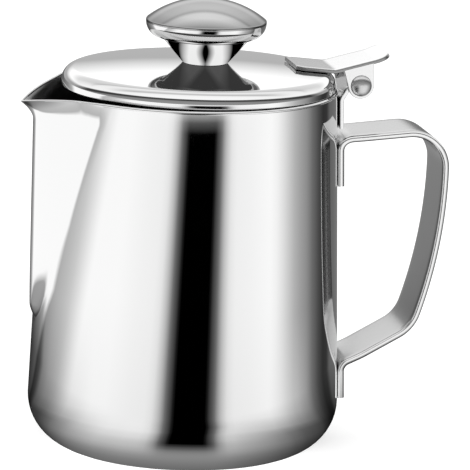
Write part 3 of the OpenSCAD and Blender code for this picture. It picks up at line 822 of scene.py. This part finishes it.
# Steel that sees the table by way of other steel, as under the lip, sees the full light on it.
seen = add_node(tree, "ShaderNodeLightPath")
again = add_node(tree, "ShaderNodeMath", {0: seen.outputs["Ray Depth"], 1: 1.5}, operation="GREATER_THAN")
table_tone = add_node(tree, "ShaderNodeMapRange", {"Value": again, "To Min": shaded, "To Max": 1.5})
table_cloth = add_node(tree, "ShaderNodeMath", {
    0: low_wall(tree, place, past_foot, near_foot), 1: table_tone}, operation="MULTIPLY")
in_steel = add_node(tree, "ShaderNodeEmission", {"Color": table_cloth, "Strength": tent_glow})
to_lens = add_node(tree, "ShaderNodeMixShader", {"Fac": seen.outputs["Is Camera Ray"], 1: matt, 2: lifted})
to_steel = add_node(tree, "ShaderNodeMixShader", {
    "Fac": seen.outputs["Is Glossy Ray"], 1: to_lens, 2: in_steel})
add_node(tree, "ShaderNodeOutputMaterial", {"Surface": to_steel})
floor_half = 4
floor = studio_mesh("white_table", [(x * floor_half, y * floor_half, 0) for x, y in
                                    ((-1, -1), (1, -1), (1, 1), (-1, 1))], [(0, 1, 2, 3)], floor_paint)

# The tent's lower part stands as a ring close round the jug, and only steel shows it.
cloth, tree = blank_material("tent_cloth")
place = add_node(tree, "ShaderNodeTexCoord").outputs["Object"]
z = add_node(tree, "ShaderNodeSeparateXYZ", {"Vector": place}).outputs["Z"]
dusk = add_node(tree, "ShaderNodeValToRGB", {"Fac": z}, [(0.0, 0.95), (0.04, 1.0)])
gap_top = add_node(tree, "ShaderNodeValToRGB", {"Fac": z}, [(0.1045, 1.0), (0.114, 0.1)])
ring_cloth = low_wall(tree, place, gap_top)
ring_tone = add_node(tree, "ShaderNodeMath", {0: ring_cloth, 1: dusk}, operation="MULTIPLY")
glow = add_node(tree, "ShaderNodeEmission", {"Color": ring_tone, "Strength": tent_glow})
add_node(tree, "ShaderNodeOutputMaterial", {"Surface": glow})
wall_band = round_band((0, tent_ring_r, 0.0), (0, tent_ring_r, tent_ring_h))
tent_wall = studio_mesh("low_tent_wall", *wall_band, cloth)
show_in_steel_only(tent_wall)

# A glowing card lies round the knob's foot, and only steel shows it. It paints reflections on the
# cone: its dark wedge in front, a white lobe on each side, and dark edges.
card_in_r = foot_r - 0.001
card_out_r = 0.030
card_z = dome_top_z + 0.00003
lobe_from_r, lobe_to_r = 0.0096, 0.016
card_shown_r, card_shown_front_r = 0.0205, 0.0175
reflection_card_paint, tree = blank_material("painted_reflection_card")
place, radius = from_knob_axis(tree)
share = round_jug(tree, place)[0]
centred = add_node(tree, "ShaderNodeMath", {0: share, 1: 0.5}, operation="SUBTRACT")
turn_away = add_node(tree, "ShaderNodeMath", {0: centred}, operation="ABSOLUTE")
wedge_edge = add_node(tree, "ShaderNodeMapRange", {
    "Value": radius, "From Min": foot_r, "From Max": cone_r, "To Min": 7 / 360, "To Max": 42 / 360})
lobe_edge = add_node(tree, "ShaderNodeMapRange", {
    "Value": radius, "From Min": lobe_from_r, "From Max": lobe_to_r,
    "To Min": 84 / 360, "To Max": 56 / 360})
past_wedge = add_node(tree, "ShaderNodeMath", {0: turn_away, 1: wedge_edge}, operation="SUBTRACT")
past_lobe = add_node(tree, "ShaderNodeMath", {0: turn_away, 1: lobe_edge}, operation="SUBTRACT")
lobes_from = add_node(tree, "ShaderNodeMapRange", {
    "Value": past_wedge, "From Min": -10 / 360, "From Max": 8 / 360})
lobes_to = add_node(tree, "ShaderNodeMapRange", {
    "Value": past_lobe, "From Min": -38 / 360, "From Max": 4 / 360, "To Min": 1.0, "To Max": 0.0})
lobes = add_node(tree, "ShaderNodeMath", {0: lobes_from, 1: lobes_to}, operation="MULTIPLY")
# The cone's image in the lid shows the same card much darker: a darker painted reflection.
path = add_node(tree, "ShaderNodeLightPath")
once = add_node(tree, "ShaderNodeMath", {0: path.outputs["Ray Depth"], 1: 1.5}, operation="LESS_THAN")
in_cone = add_node(tree, "ShaderNodeMapRange", {"Value": lobes, "To Max": 0.88})
in_lid = add_node(tree, "ShaderNodeMapRange", {"Value": lobes, "To Min": 0.05, "To Max": 0.11})
shown = add_node(tree, "ShaderNodeMapRange", {"Value": once, "To Min": in_lid, "To Max": in_cone})
# The card glows with the wedge and lobe pattern: a painted reflection for the cone.
painted_reflection_glow = add_node(tree, "ShaderNodeEmission", {"Color": shown, "Strength": tent_glow})
# It is clear from below, and the knob's underside sees past its edge.
clear = add_node(tree, "ShaderNodeBsdfTransparent")
side = add_node(tree, "ShaderNodeNewGeometry")
in_front = add_node(tree, "ShaderNodeMath", {0: turn_away, 1: 95 / 360}, operation="LESS_THAN")
card_edge = add_node(tree, "ShaderNodeMapRange", {
    "Value": in_front, "To Min": card_shown_r, "To Max": card_shown_front_r})
outside = add_node(tree, "ShaderNodeMath", {0: radius, 1: card_edge}, operation="GREATER_THAN")
past_card = add_node(tree, "ShaderNodeMath", {0: outside, 1: once}, operation="MULTIPLY")
cleared = add_node(tree, "ShaderNodeMath", {
    0: past_card, 1: side.outputs["Backfacing"]}, operation="MAXIMUM")
one_sided = add_node(tree, "ShaderNodeMixShader", {"Fac": cleared, 1: painted_reflection_glow, 2: clear})
add_node(tree, "ShaderNodeOutputMaterial", {"Surface": one_sided})
card_band = round_band((knob_x, card_out_r, card_z), (knob_x, card_in_r, card_z))
card = studio_mesh("knob_card", *card_band, reflection_card_paint)
show_in_steel_only(card)
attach(card, "lid")

world = bpy.data.worlds.new("white_tent")
bpy.context.scene.world = world
world.use_nodes = True
tree = world.node_tree
tree.nodes.clear()
share, front, flat = round_jug(tree, add_node(tree, "ShaderNodeTexCoord").outputs["Generated"])
height = flat.outputs["Z"]
# Behind, the room shows grey over the low wall, up to the bright cloth.
behind = add_node(tree, "ShaderNodeValToRGB", {"Fac": height}, [(0.0, 0.36), (0.13, 0.38), (0.27, 1.0)])
# In front and at the sides, a grey band and a dark gap lie over the low wall, and sink towards the back.
sunk = add_node(tree, "ShaderNodeMath", {0: front, 1: -0.4, 2: height}, operation="MULTIPLY_ADD")
sunk_share = add_node(tree, "ShaderNodeMapRange", {"Value": sunk, "From Min": -1.1, "From Max": 1.1})
before = add_node(tree, "ShaderNodeValToRGB", {"Fac": sunk_share}, [
    (0.30, 0.30), (0.52, 0.26), (0.56, 0.20), (0.58, 0.05), (0.665, 0.05), (0.70, 1.0)])
frontness = add_node(tree, "ShaderNodeMapRange", {"Value": front, "From Min": -0.6, "From Max": -0.3})
low = add_node(tree, "ShaderNodeMapRange", {"Value": frontness, "To Min": behind, "To Max": before})
# Overhead the roof runs from side to side: 0.5 is straight up and 1 is the back.
over = add_node(tree, "ShaderNodeMath", {0: height, 1: front}, operation="ARCTAN2")
half_turn = add_node(tree, "ShaderNodeMapRange", {"Value": over, "From Max": pi})
roof = add_node(tree, "ShaderNodeValToRGB", {"Fac": half_turn}, [
    (0.30, 1.0), (0.44, 0.95), (0.475, 0.68), (0.51, 0.50), (0.56, 0.72), (0.62, 0.9), (0.67, 0.85),
    (0.70, 0.50), (0.73, 0.66), (0.83, 0.72), (0.88, 1.0)])
sideways = add_node(tree, "ShaderNodeMath", {0: flat.outputs["X"]}, operation="ABSOLUTE")
from_side = add_node(tree, "ShaderNodeValToRGB", {"Fac": sideways}, [(0.55, 0.0), (0.85, 1.0)])
high = add_node(tree, "ShaderNodeMapRange", {"Value": from_side, "To Min": roof, "To Max": 0.95})
tent_tone = add_node(tree, "ShaderNodeMath", {0: low, 1: high}, operation="MULTIPLY")
tent = add_node(tree, "ShaderNodeBackground", {"Color": tent_tone, "Strength": tent_glow})
white = add_node(tree, "ShaderNodeBackground", {"Color": (1, 1, 1, 1), "Strength": 1.0})
seen = add_node(tree, "ShaderNodeLightPath")
air = add_node(tree, "ShaderNodeMixShader", {"Fac": seen.outputs["Is Glossy Ray"], 1: white, 2: tent})
add_node(tree, "ShaderNodeOutputWorld", {"Surface": air})

lens = bpy.data.cameras.new("camera")
lens.sensor_width = 36
lens.lens = focal_pixels / photo_pixels * lens.sensor_width
lens.clip_end = 20
camera = bpy.data.objects.new("camera", lens)
bpy.context.scene.collection.objects.link(camera)
forward = Vector((0, cos(camera_rise), -sin(camera_rise)))
right = Vector((1, 0, 0))
up = right.cross(forward)
forward = (forward + tan(pan) * right + tan(pitch) * up).normalized()
level_right = forward.cross(Vector((0, 0, 1))).normalized()
level_up = level_right.cross(forward)
right = cos(roll) * level_right + sin(roll) * level_up
up = -sin(roll) * level_right + cos(roll) * level_up
swing = Matrix.Rotation(-camera_turn, 4, "Z")
aim = Matrix((right, up, -forward)).transposed().to_4x4()
stand = Matrix.Translation((0, -distance * cos(camera_rise), target_z + distance * sin(camera_rise)))
camera.matrix_world = swing @ stand @ aim
bpy.context.scene.camera = camera
bpy.context.scene.view_settings.view_transform = "Standard"
